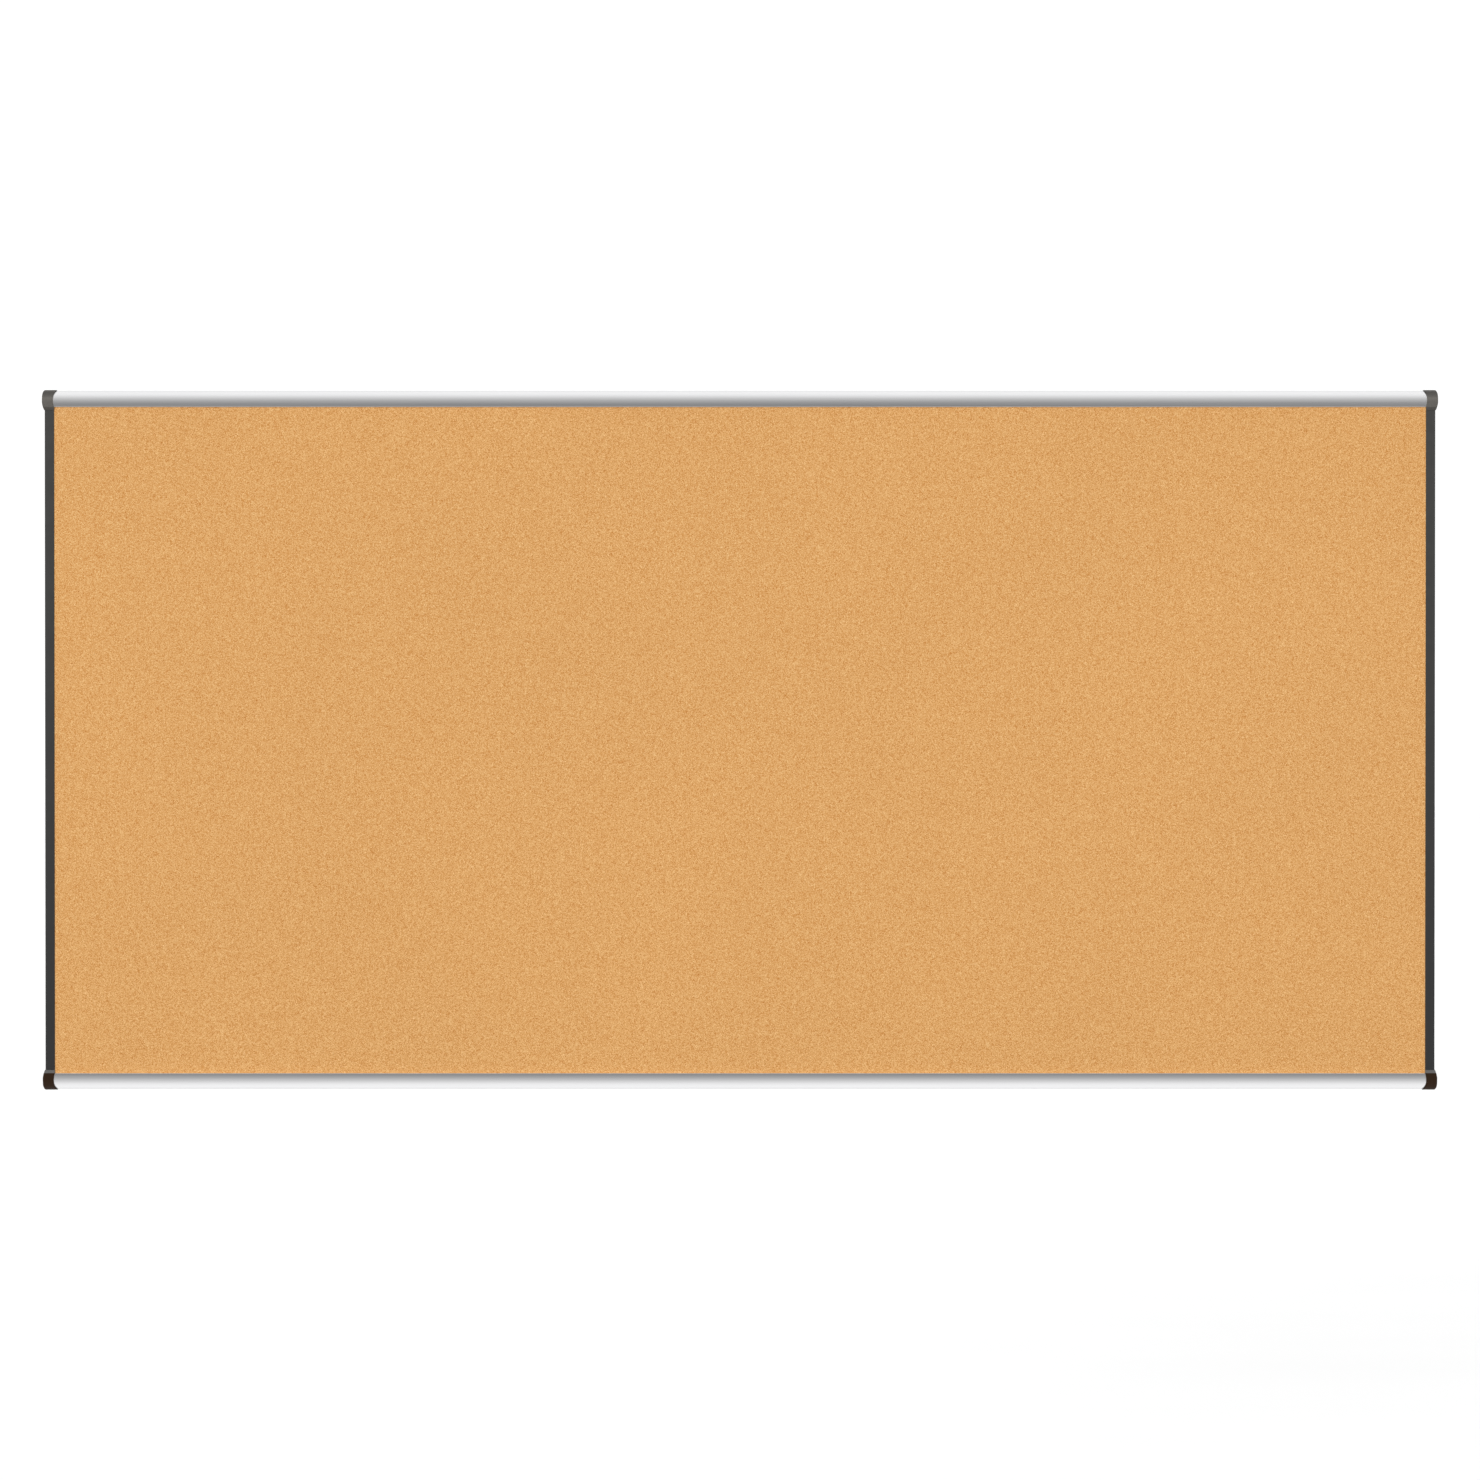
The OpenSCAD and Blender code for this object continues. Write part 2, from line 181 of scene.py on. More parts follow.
def port_loop():
    """The slotted tube inside the chamber that the cap's screw bites into, from the web and back to it."""
    foot = math.asin((WEB_Q - PORT_Q) / PORT_WALL_R)
    outer_gap, inner_gap = (math.asin(PORT_SLOT / 2 / r) for r in (PORT_WALL_R, PORT_R))
    top = -math.pi / 2
    front_wall = arc(PORT_P, PORT_Q, PORT_WALL_R, foot, top + outer_gap, 10)
    bore = arc(PORT_P, PORT_Q, PORT_R, top + inner_gap, top + math.tau - inner_gap, 24)
    rear_wall = arc(PORT_P, PORT_Q, PORT_WALL_R, top - outer_gap, -math.pi - foot, 10)
    return front_wall + bore + rear_wall


def trim_loops():
    """The side trim's section: a U with its mouth towards the panel."""
    return [fillet([
        (TRIM_U, BACK_P, 0.5), (TRIM_U, TRIM_P, 1.2), (TRIM_FOOT_U, TRIM_P, 0.6),
        (TRIM_FOOT_U, TRIM_P - TRIM_T, 0.3), (TRIM_U + TRIM_T, TRIM_P - TRIM_T, 0.4),
        (TRIM_U + TRIM_T, BACK_P + BACK_WALL_T, 0.4), (TRIM_FOOT_U, BACK_P + BACK_WALL_T, 0.3),
        (TRIM_FOOT_U, BACK_P, 0.3)])]


# ---------------------------------------------------------------------------------------------------------
# Mesh building


def prism(loops, place, low, high):
    """A closed prism over the first loop, with the others as holes. place(a, b, t) gives a point."""
    bm = bmesh.new()
    rings = [[[bm.verts.new(place(a, b, t)) for a, b in loop] for t in (low, high)] for loop in loops]
    for near, far in rings:
        for i in range(len(near)):
            j = (i + 1) % len(near)
            bm.faces.new((near[i], near[j], far[j], far[i]))
    flat = [[Vector((a, b, 0)) for a, b in loop] for loop in loops]
    for end in (0, 1):
        verts = [v for ring in rings for v in ring[end]]
        for tri in tessellate_polygon(flat):
            bm.faces.new([verts[i] for i in tri])
    bmesh.ops.dissolve_limit(bm, angle_limit=math.radians(0.5), verts=bm.verts[:], edges=bm.edges[:])
    bmesh.ops.recalc_face_normals(bm, faces=bm.faces[:])
    return bm


def as_object(name, bm):
    mesh = bpy.data.meshes.new(name)
    bm.to_mesh(mesh)
    bm.free()
    obj = bpy.data.objects.new(name, mesh)
    bpy.context.scene.collection.objects.link(obj)
    return obj


def applied(obj):
    """Applies obj's modifiers to its mesh."""
    graph = bpy.context.evaluated_depsgraph_get()
    mesh = bpy.data.meshes.new_from_object(obj.evaluated_get(graph), depsgraph=graph)
    obj.modifiers.clear()
    old = obj.data
    obj.data = mesh
    bpy.data.meshes.remove(old)
    return obj


def cut(obj, bm, operation="DIFFERENCE"):
    """Cuts obj by a solid, or keeps what the two share."""
    tool = as_object("tool", bm)
    boolean = obj.modifiers.new("cut", "BOOLEAN")
    boolean.operation = operation
    boolean.solver = "EXACT"
    boolean.object = tool
    applied(obj)
    bpy.data.objects.remove(tool)
    return obj


def shade(obj):
    """Smooth faces, with the edges that turn by more than SHARP kept sharp."""
    bm = bmesh.new()
    bm.from_mesh(obj.data)
    bmesh.ops.remove_doubles(bm, verts=bm.verts[:], dist=0.002 * MM)
    for face in bm.faces:
        face.smooth = True
    for edge in bm.edges:
        edge.smooth = len(edge.link_faces) == 2 and edge.calc_face_angle(0) < SHARP
    bm.to_mesh(obj.data)
    bm.free()
    return obj


def finished(obj, material, body, slot, *nodes):
    """Gives a built piece its material and its body, shades it, and hides the CAD nodes it stands for."""
    obj.data.materials.clear()
    obj.data.materials.append(material)
    shade(obj)
    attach(obj, body)
    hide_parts(*nodes)
    return obj


def mirrored(obj, name, x, z):
    """A copy of obj with X or Z flipped where x or z is -1."""
    bm = bmesh.new()
    bm.from_mesh(obj.data)
    bm.transform(Matrix.Diagonal((x, 1, z, 1)))
    if x * z < 0:
        bmesh.ops.reverse_faces(bm, faces=bm.faces[:])
    return as_object(name, bm)


def at_top(p, q, x):
    return Vector((x, -p, EDGE_Z - q)) * MM


def at_right(u, p, z):
    return Vector((SIDE_X - u, -p, z)) * MM


def at_front(u, q, p):
    return Vector((SIDE_X - u, -p, EDGE_Z - q)) * MM


# ---------------------------------------------------------------------------------------------------------
# Corner caps

CROWN_U, CROWN_Q = 5.2, 11.0        # rounded outer corner, as seen from the front
WAIST_Q, WAIST_U = 19.0, TRIM_U - 1.0   # where the side starts to draw in, and how far it does
WAIST_BEND = 1.6                    # power of the side's curve below the waist
COLLAR_U, COLLAR_Q = 19.4, 14.7     # narrowest part of the collar
HORN_REACH = SIDE_X - CAP_LOW.x - COLLAR_U
HORN_BEND = 2.4                     # power of the collar's curve out to the horn
CREST_L = 3.5                       # straight stretch between the curved front and the shoulder
CREST_R, FOOT_R = 2.2, 0.8          # roundings at the top and the foot of the shoulder
FRONT_ROUND, BACK_ROUND = 1.3, 0.35  # roundings between the outer side and the front and the back
ROUND_STEPS = 6
BORE_R, RECESS_R = 2.2, 4.4         # holes for the cap's screw and for its head
RECESS_U = 4.2                      # floor of the recess for the screw's head
TONGUE_L, TONGUE_T = 12.0, 2.0
TONGUE_GAP = 0.3                    # between a tongue and the walls of the rail


def cap_side_u(q):
    """How far in the outer side of the cap is, at a distance q from the rail's edge."""
    if q < CROWN_Q:
        rise = min(1.0, (CROWN_Q - q) / (CROWN_Q + COLLAR_GROW))
        return CROWN_U * (1 - math.sqrt(1 - rise * rise))
    if q > WAIST_Q:
        return WAIST_U * ((q - WAIST_Q) / (SHOULDER_Q - WAIST_Q)) ** WAIST_BEND
    return 0.0


def collar_u(q):
    """How far in the free edge of the collar is: a hollow curve that sweeps out to the horn."""
    if q > RAIL_H:
        return TRIM_FOOT_U
    if q > COLLAR_Q:
        return COLLAR_U + (TRIM_FOOT_U - COLLAR_U) * ((q - COLLAR_Q) / (RAIL_H - COLLAR_Q)) ** 2
    return COLLAR_U + HORN_REACH * ((COLLAR_Q - q) / (COLLAR_Q + COLLAR_GROW)) ** HORN_BEND


def cap_profile():
    """The cap's side profile as levels: (front p, back p, q), from the outer edge to the foot."""
    shoulder_p = TRIM_P + COLLAR_GROW
    crest_p = RAIL_DEPTH + COLLAR_GROW
    line = rail_front(COLLAR_GROW, -COLLAR_GROW, RAIL_H - CREST_L, 26)
    shoulder = fillet([(crest_p, RAIL_H - CREST_L, 0), (crest_p, RAIL_H, CREST_R),
                       (shoulder_p, SHOULDER_Q, FOOT_R), (BACK_P, SHOULDER_Q, 0)], 6)[1:-1]
    line += [(p, q) for p, q in shoulder if q > line[-1][1]]
    low_back = BACK_P - COLLAR_GROW
    step_q, slope_q = RAIL_H + FIT, FIT / 2
    levels = []
    for p, q in line:
        if levels and levels[-1][2] < step_q < q:
            last = levels[-1]
            for near, back in ((step_q - slope_q, 0.0), (step_q + slope_q, low_back)):
                share = (near - last[2]) / (q - last[2])
                levels.append((last[0] + (p - last[0]) * share, back, near))
        levels.append((p, low_back if q > step_q else 0.0, q))
    return levels


def outward(points):
    """The outward unit normals at the points of a closed clockwise outline."""
    result = []
    for i, here in enumerate(points):
        before = (here - points[i - 1]).normalized()
        after = (points[(i + 1) % len(points)] - here).normalized()
        result.append(Vector((-before.y - after.y, before.x + after.x)).normalized())
    return result


def side_normal_q(q):
    """The share of the side face's normal along q: -1 on top of the crown and 0 on the straight side."""
    step = 0.01
    slope = (cap_side_u(q + step) - cap_side_u(q)) / step
    return slope / math.hypot(1, slope)


def cap_shell():
    """The cap as a closed solid: its side face, a rounding, and walls that run in to the collar's edge."""
    levels = cap_profile()
    count = len(levels)
    outline = [Vector((back, q)) for _, back, q in levels]
    outline += [Vector((front, q)) for front, _, q in reversed(levels)]
    normals = [Vector((-1, 0))] * count + outward(outline)[count:]
    rounding = [BACK_ROUND] * count
    for v, n in zip(outline[count:], normals[count:]):
        rounding.append(FRONT_ROUND * (1 - max(0, n.y * side_normal_q(v.y))))

    def reach(i):
        """How far in the walls run: to the end block behind the rail, or else to the collar's edge."""
        q = outline[i].y
        return RAIL_END_U + 0.6 if i < count and -FIT < q < RAIL_H + FIT else collar_u(q)

    rings = []
    for k in range(ROUND_STEPS + 1):
        angle = math.pi / 2 * k / ROUND_STEPS
        ring = []
        for v, n, r in zip(outline, normals, rounding):
            p, q = v - n * r * (1 - math.sin(angle))
            ring.append((p, q, cap_side_u(q) + r * (1 - math.cos(angle))))
        rings.append(ring)
    for share in (0.3, 0.65, 1.0):
        rings.append([(p, q, u + (reach(i) - u) * share) for i, (p, q, u) in enumerate(rings[ROUND_STEPS])])
    bm = bmesh.new()
    verts = [[bm.verts.new(at_front(u, q, p)) for p, q, u in ring] for ring in rings]
    for near, far in zip(verts, verts[1:]):
        for i in range(len(near)):
            j = (i + 1) % len(near)
            bm.faces.new((near[i], near[j], far[j], far[i]))
    for ring in (verts[0], verts[-1]):
        for k in range(count - 1):
            bm.faces.new((ring[k], ring[k + 1], ring[-2 - k]))
            bm.faces.new((ring[k], ring[-2 - k], ring[-1 - k]))
    bmesh.ops.recalc_face_normals(bm, faces=bm.faces[:])
    return bm


def build_cap():
    """The top right cap: the shell less its sockets, bore and recess, with two tongues into the rail."""
    cap = as_object("cap", cap_shell())
    far_x, end_x = SIDE_X - 40, SIDE_X - RAIL_END_U + FIT
    rail_end = [(-2, -FIT)] + rail_front(FIT, -FIT, RAIL_H, 40)
    rail_end += [(RAIL_DEPTH + FIT, RAIL_H + FIT), (-2, RAIL_H + FIT)]
    trim_end = rectangle(BACK_P - FIT, RAIL_H + FIT / 2, TRIM_P + FIT, SHOULDER_Q + PAST)
    panel_edge = rectangle(BACK_P + BACK_WALL_T, CHANNEL_Q + FIT, CORK_P + FIT, SHOULDER_Q + 4)
    cut(cap, prism([rail_end], at_top, far_x, end_x))
    cut(cap, prism([trim_end], at_top, far_x, SIDE_X - TRIM_U + FIT))
    cut(cap, prism([panel_edge], at_top, far_x - 1, CORK_HIGH.x + FIT))
    cut(cap, prism([circle(PORT_P, PORT_Q, BORE_R)], at_top, far_x, SIDE_X + PAST))
    cut(cap, prism([circle(PORT_P, PORT_Q, RECESS_R, 56)], at_top, SIDE_X - RECESS_U, SIDE_X + PAST))
    groove_tongue = rectangle(LIP_T + TONGUE_GAP, LIP_T + 0.6, BACK_P - TONGUE_GAP, LIP_Q - LIP_T - 0.6)
    chamber_p = BACK_P + BACK_WALL_T + 0.4
    chamber_tongue = rectangle(chamber_p, SKIN_T + 1, chamber_p + TONGUE_T, WEB_Q - 0.4)
    for tongue in (groove_tongue, chamber_tongue):
        cut(cap, prism([tongue], at_top, end_x - TONGUE_L, end_x + 1), "UNION")
    return cap


# ---------------------------------------------------------------------------------------------------------
# Screws and hangers


def lathe(profile, steps=32):
    """A closed solid of revolution about Z over (r, z) points, from the axis back to the axis."""
    bm = bmesh.new()
    rings = []
    for r, z in profile:
        points = circle(0, 0, r, steps) if r > 0 else [(0, 0)]
        rings.append([bm.verts.new(Vector((x, y, z)) * MM) for x, y in points])
    for upper, lower in zip(rings, rings[1:]):
        for i in range(steps):
            around = ((upper, i), (upper, i + 1), (lower, i + 1), (lower, i))
            corners = list(dict.fromkeys(ring[k % len(ring)] for ring, k in around))
            if len(corners) > 2:
                bm.faces.new(corners)
    bmesh.ops.recalc_face_normals(bm, faces=bm.faces[:])
    return bm


def screw(head_r, head_h, shank_r, length):
    """A pan-head screw with a cross recess and a threaded shank, its head above z = 0."""
    rim = head_h * 0.62
    root_r, pitch, flank = shank_r * 0.78, shank_r * 0.75, shank_r * 0.225
    thread_end, tip_start = -length + 2.2 * shank_r, -length + 1.6 * shank_r
    profile = [(0.0, head_h)] + arc(head_r - rim, head_h - rim, rim, math.pi / 2, 0.0, 8)
    profile += [(head_r, head_h * 0.12), (head_r - head_h * 0.1, 0.0), (shank_r * 0.8, 0.0)]
    z = -pitch
    while z > thread_end:
        profile += [(root_r, z + flank), (shank_r, z), (root_r, z - flank)]
        z -= pitch
    profile += [(shank_r * 0.7, tip_start), (0.0, -length)]
    body = as_object("screw", lathe(profile))
    arm, slot = head_r * 0.52, head_r * 0.115
    for a, b in ((arm, slot), (slot, arm)):
        recess = bmesh.new()
        corners = rectangle(-a, -b, a, b)
        foot = [recess.verts.new(Vector((x * 0.45, y * 0.7, head_h * 0.3)) * MM) for x, y in corners]
        top = [recess.verts.new(Vector((x, y, head_h * 1.2)) * MM) for x, y in corners]
        recess.faces.new(foot[::-1])
        recess.faces.new(top)
        for i in range(4):
            recess.faces.new((foot[i], foot[(i + 1) % 4], top[(i + 1) % 4], top[i]))
        bmesh.ops.recalc_face_normals(recess, faces=recess.faces[:])
        cut(body, recess)
    return body


def scattered(master, name, places):
    """One object that holds a copy of master's mesh at each place."""
    bm = bmesh.new()
    for place in places:
        first = len(bm.verts)
        bm.from_mesh(master.data)
        bm.verts.ensure_lookup_table()
        bmesh.ops.transform(bm, matrix=place, verts=bm.verts[first:])
    return as_object(name, bm)


def solids_of(node):
    """The lowest and highest corner of each separate solid of a CAD node, in metres."""
    bm = bmesh.new()
    bm.from_mesh(frame["nodes"][node].data)
    bmesh.ops.remove_doubles(bm, verts=bm.verts[:], dist=0.001 * MM)
    left, found = set(bm.verts), []
    while left:
        stack, solid = [left.pop()], []
        while stack:
            v = stack.pop()
            solid.append(v.co.copy())
            for e in v.link_edges:
                other = e.other_vert(v)
                if other in left:
                    left.discard(other)
                    stack.append(other)
        low = Vector(min(c[i] for c in solid) for i in range(3))
        high = Vector(max(c[i] for c in solid) for i in range(3))
        found.append((low, high))
    bm.free()
    return sorted(found, key=lambda lh: (round(lh[0].x, 4), round(lh[0].z, 4)))


SHEET_T = 1.3
HEM_GAP = 0.3
KEYHOLE_Q = 39.3                    # centre of a keyhole's entry, in from the rail's outer edge
ENTRY_R, SLOT_R, SLOT_RUN = 5.5, 2.6, 10.0
PLATE_CORNER_R, PLATE_EDGE = 8.0, 0.14


def hanger_loop():
    """The hanger's section: a folded hem, a tongue in the groove, a bend to the wall and the flange."""
    front = BACK_P - HEM_GAP
    back, hem = front - SHEET_T, front - 2 * SHEET_T
    hem_q, hem_end, bend_q = LIP_T + HEM_GAP, LIP_Q - LIP_T - 0.4, LIP_Q + 0.2
    flange_q = EDGE_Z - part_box("top_left_hanger")[0].z / MM
    return [fillet([
        (hem, hem_q, 1.2), (front, hem_q, 1.2), (front, bend_q + 0.5, 2.3), (SHEET_T, bend_q + 3.5, 1.0),
        (SHEET_T, flange_q, 0.2), (0, flange_q, 0.2), (0, bend_q + 3.0, 2.3), (back, bend_q, 1.0),
        (back, hem_end, 0.1), (hem, hem_end, 0.4)], 6)]


def keyhole_loop():
    """A keyhole's outline as (x, z) about its entry's centre. The slot runs up."""
    top, mouth = math.pi / 2, math.asin(SLOT_R / ENTRY_R)
    entry = arc(0, 0, ENTRY_R, top + mouth, top + math.tau - mouth, 32)
    return entry + arc(0, SLOT_RUN, SLOT_R, 0.0, math.pi, 16)


def build_hanger(node):
    """A hanger plate in the place of its CAD node, with rolled bends, rounded corners and a keyhole."""
    low, high = (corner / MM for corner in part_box(node))
    middle, top = (low.x + high.x) / 2, low.z + high.z > 0
    flip = 1 if top else -1
    entry_z = flip * (EDGE_Z - KEYHOLE_Q)

    def in_section(p, q, x):
        return Vector((x, -p, flip * (EDGE_Z - q))) * MM

    def from_front(x, z, y):
        return Vector((x, y, z)) * MM

    def about_entry(x, z, y):
        return Vector((middle + x, y, entry_z + z)) * MM

    name = node.replace("hanger", "hanger_plate")
    plate = as_object(name, prism(hanger_loop(), in_section, low.x, high.x))
    free_z = low.z if top else high.z
    far_z = high.z + PAST if top else low.z - PAST
    near_x, far_x = low.x - 0.001, high.x + 0.001
    outline = fillet([(near_x, far_z, 0), (far_x, far_z, 0),
                      (far_x, free_z, PLATE_CORNER_R), (near_x, free_z, PLATE_CORNER_R)], 10)
    cut(plate, prism([outline], from_front, -4 * PAST, PAST), "INTERSECT")
    cut(plate, prism([keyhole_loop()], about_entry, -2 * PAST, PAST))
    edge = plate.modifiers.new("edge", "BEVEL")
    edge.width = PLATE_EDGE * MM
    edge.segments = 2
    edge.limit_method = "ANGLE"
    edge.angle_limit = math.radians(50)
    return applied(plate)


# ---------------------------------------------------------------------------------------------------------
# Materials


class Tree:
    """A node tree, with short calls to add and join its nodes."""

    def __init__(self, tree):
        self.tree = tree

    def add(self, kind, inputs=None, **settings):
        node = self.tree.nodes.new(kind)
        for name, value in settings.items():
            setattr(node, name, value)
        for name, value in (inputs or {}).items():
            self.feed(node.inputs[name], value)
        return node

    def feed(self, socket, value):
        if isinstance(value, bpy.types.NodeSocket):
            self.tree.links.new(value, socket)
        else:
            socket.default_value = value

    def maths(self, operation, a, b=0.0):
        return self.add("ShaderNodeMath", {0: a, 1: b}, operation=operation).outputs[0]


class Surface(Tree):
    """A material's node tree. place is the point on the object, in metres."""

    def __init__(self, name):
        self.material = bpy.data.materials.new(name)
        self.material.use_nodes = True
        super().__init__(self.material.node_tree)
        self.out = self.tree.nodes["Principled BSDF"]
        self.place = self.add("ShaderNodeTexCoord").outputs["Object"]

    def scaled(self, x, y, z):
        inputs = {0: self.place, 1: (x, y, z)}
        return self.add("ShaderNodeVectorMath", inputs, operation="MULTIPLY").outputs[0]

    def noise(self, scale, detail=2.0, vector=None, roughness=0.5):
        inputs = {"Vector": vector or self.place, "Scale": scale, "Detail": detail, "Roughness": roughness}
        return self.add("ShaderNodeTexNoise", inputs).outputs["Fac"]

    def cells(self, scale, vector):
        return self.add("ShaderNodeTexVoronoi", {"Vector": vector, "Scale": scale})

    def channel(self, colour, name):
        return self.add("ShaderNodeSeparateColor", {"Color": colour}).outputs[name]

    def grey(self, value):
        return self.add("ShaderNodeCombineColor", {"Red": value, "Green": value, "Blue": value}).outputs[0]

    def wandering(self, scale, amount):
        """The object's coordinates, pushed about by noise so that cell walls aren't straight."""
        push = self.add("ShaderNodeTexNoise", {"Vector": self.place, "Scale": scale}).outputs["Color"]
        inputs = {0: push, 1: (amount,) * 3, 2: self.place}
        return self.add("ShaderNodeVectorMath", inputs, operation="MULTIPLY_ADD").outputs[0]

    def ramp(self, value, stops):
        node = self.add("ShaderNodeValToRGB", {"Fac": value})
        points = node.color_ramp.elements
        while len(points) < len(stops):
            points.new(0.5)
        for point, (at, colour) in zip(points, stops):
            point.position = at
            point.color = (*colour, 1.0)
        return node.outputs["Color"]

    def ranged(self, value, low, high, to_low, to_high):
        inputs = {"Value": value, "From Min": low, "From Max": high, "To Min": to_low, "To Max": to_high}
        return self.add("ShaderNodeMapRange", inputs).outputs[0]

    def mix(self, share, a, b, blend="MIX"):
        node = self.add("ShaderNodeMix", {"Factor": share}, data_type="RGBA", blend_type=blend)
        self.feed(node.inputs[6], a)
        self.feed(node.inputs[7], b)
        return node.outputs[2]

    def bump(self, height, strength, distance, normal=None):
        inputs = {"Height": height, "Strength": strength, "Distance": distance}
        if normal is not None:
            inputs["Normal"] = normal
        return self.add("ShaderNodeBump", inputs).outputs["Normal"]

    def soft_edges(self, radius):
        return self.add("ShaderNodeBevel", {"Radius": radius}, samples=6).outputs["Normal"]

    def straightness(self, soft, flat):
        """1 on a flat face, and less where the softened normal turns away at an edge."""
        inputs = {0: soft, 1: flat}
        return self.add("ShaderNodeVectorMath", inputs, operation="DOT_PRODUCT").outputs["Value"]

    def finish(self, **inputs):
        for name, value in inputs.items():
            self.feed(self.out.inputs[name.replace("_", " ")], value)
        return self.material


def scaled_colour(colour, by):
    return tuple(c * by for c in colour)


def from_srgb(colour):
    """Linear values of an sRGB colour of 0 to 255."""
    values = [min(255.0, max(0.0, c)) / 255 for c in colour]
    return tuple(v / 12.92 if v <= 0.04045 else ((v + 0.055) / 1.055) ** 2.4 for v in values)


def cork():
    """Pressed granules in three sizes, each of its own tone, with dark bark specks between them."""
    t = Surface("cork")
    tan, spread = (219, 164, 100), (0.57, 0.86, 0.98)
    bent = t.wandering(900.0, 0.8 * MM)
    coarse = t.channel(t.cells(520.0, bent).outputs["Color"], "Red")
    middle = t.channel(t.cells(1050.0, bent).outputs["Color"], "Green")
    fine = t.channel(t.cells(2100.0, bent).outputs["Color"], "Blue")
    grain = t.maths("ADD", t.maths("MULTIPLY", coarse, 0.14), t.maths("MULTIPLY", middle, 0.46))
    grain = t.maths("ADD", grain, t.maths("MULTIPLY", fine, 0.40))
    stops = []
    for at, lighten in ((0.06, -88), (0.26, -42), (0.5, 0), (0.74, 36), (0.94, 60)):
        stops.append((at, from_srgb(c + lighten * s for c, s in zip(tan, spread))))
    tone = t.ramp(grain, stops)
    spots = t.ranged(t.cells(700.0, bent).outputs["Distance"], 0.12, 0.24, 1.0, 0.0)
    rare = t.ranged(t.noise(310.0, 1.0), 0.60, 0.66, 0.0, 0.8)
    tone = t.mix(t.maths("MULTIPLY", spots, rare), tone, (*from_srgb((104, 66, 38)), 1.0))
    drift = t.ranged(t.noise(2.2, 2.0), 0.3, 0.7, 0.985, 1.015)
    tone = t.mix(1.0, tone, t.grey(drift), "MULTIPLY")
    height = t.maths("ADD", grain, t.maths("MULTIPLY", t.noise(1500.0, 2.0), 0.4))
    rough = t.ranged(grain, 0.0, 1.0, 0.96, 0.84)
    return t.finish(Base_Color=tone, Roughness=rough, Specular_IOR_Level=0.18,
                    Normal=t.bump(height, 0.30, 0.12 * MM))


def satin_aluminium():
    """Satin anodised aluminium with fine lines along the extrusion."""
    t = Surface("satin_aluminium")
    lines = t.noise(1.0, 4.0, t.scaled(1.4, 2600.0, 2600.0), 0.6)
    haze = t.noise(9.0, 3.0, t.scaled(1.0, 6.0, 6.0))
    value = t.maths("ADD", t.maths("MULTIPLY", lines, 0.85), t.maths("MULTIPLY", haze, 0.15))
    colour = t.ramp(value, [
        (0.25, (0.742, 0.742, 0.752)), (0.5, (0.790, 0.790, 0.797)), (0.75, (0.830, 0.830, 0.834))])
    rough = t.ranged(lines, 0.3, 0.7, 0.27, 0.36)
    return t.finish(Base_Color=colour, Metallic=1.0, Roughness=rough,
                    Normal=t.bump(lines, 0.10, 0.02 * MM, t.soft_edges(0.25 * MM)))


def charcoal_trim():
    """Charcoal powder coat: fine orange peel, a little unevenness, and painted shade that darkens the trim
    from its top to its bottom.
    """
    t = Surface("charcoal_trim")
    peel = t.noise(1500.0, 2.0)
    up = t.add("ShaderNodeSeparateXYZ", {"Vector": t.place}).outputs["Z"]
    # painted shade: the colour runs from lighter at the trim's top to darker at its bottom, standing for
    # light that falls from above
    painted_shading = t.ranged(up, TRIM_LOW.z * MM, TRIM_HIGH.z * MM, 0.0, 1.0)
    tone = t.mix(painted_shading, (0.0255, 0.0250, 0.0252, 1.0), (0.0530, 0.0520, 0.0490, 1.0))
    tone = t.mix(t.ranged(t.noise(70.0, 3.0), 0.35, 0.65, 0.0, 0.16), tone, (0.020, 0.020, 0.020, 1.0))
    return t.finish(Base_Color=tone, Roughness=t.ranged(peel, 0.3, 0.7, 0.42, 0.52),
                    Normal=t.bump(peel, 0.12, 0.03 * MM, t.soft_edges(0.3 * MM)))


def black_plastic(name, tone, gloss, painted_top_light, painted_shading):
    """Moulded plastic with a fine spark-eroded texture, faintly worn edges, and a painted lighter grey on
    what faces up that stands for light from above.

    The last argument is painted light and shade: how the tone changes with the slope, as pairs of how far
    the surface leans up, from -1 to 1, and the share of the tone there.
    """
    t = Surface(name)
    texture = t.noise(1900.0, 3.0)
    patches = t.ranged(t.noise(520.0, 2.0), 0.35, 0.65, 0.0, 1.0)
    colour = t.mix(patches, (*scaled_colour(tone, 0.92), 1.0), (*scaled_colour(tone, 1.08), 1.0))
    soft = t.soft_edges(0.5 * MM)
    flat = t.add("ShaderNodeNewGeometry").outputs["Normal"]
    up = t.add("ShaderNodeSeparateXYZ", {"Vector": flat}).outputs["Z"]
    # painted light and shade: the tone is scaled by how far the surface leans up, in lighter and darker
    # bands that stand for how light falls on the rounded moulding
    stops = [((lean + 1) / 2, (share,) * 3) for lean, share in painted_shading]
    painted_shading_tone = t.ramp(t.ranged(up, -1.0, 1.0, 0.0, 1.0), stops)
    colour = t.mix(1.0, colour, painted_shading_tone, "MULTIPLY")
    edges = t.ranged(t.straightness(soft, flat), 0.80, 0.99, 0.4, 0.0)
    wear = t.maths("MULTIPLY", edges, t.ranged(texture, 0.4, 0.6, 0.2, 1.0))
    colour = t.mix(wear, colour, (*scaled_colour(tone, 2.0), 1.0))
    # painted light: up-facing surfaces are mixed towards a lighter grey, standing for light from above; the
    # lower caps' up-facing shoulders take nearly all of it
    facing_up = t.ranged(up, 0.40, 0.58, 0.0, painted_top_light)
    painted_top_light_share = t.maths("MULTIPLY", facing_up, t.ranged(texture, 0.3, 0.6, 0.7, 1.0))
    colour = t.mix(painted_top_light_share, colour, (0.150, 0.148, 0.145, 1.0))
    rough = t.ranged(texture, 0.3, 0.7, 0.44, 0.58)
    return t.finish(Base_Color=colour, Roughness=rough, Specular_IOR_Level=gloss,
                    Normal=t.bump(texture, 0.22, 0.05 * MM, soft))


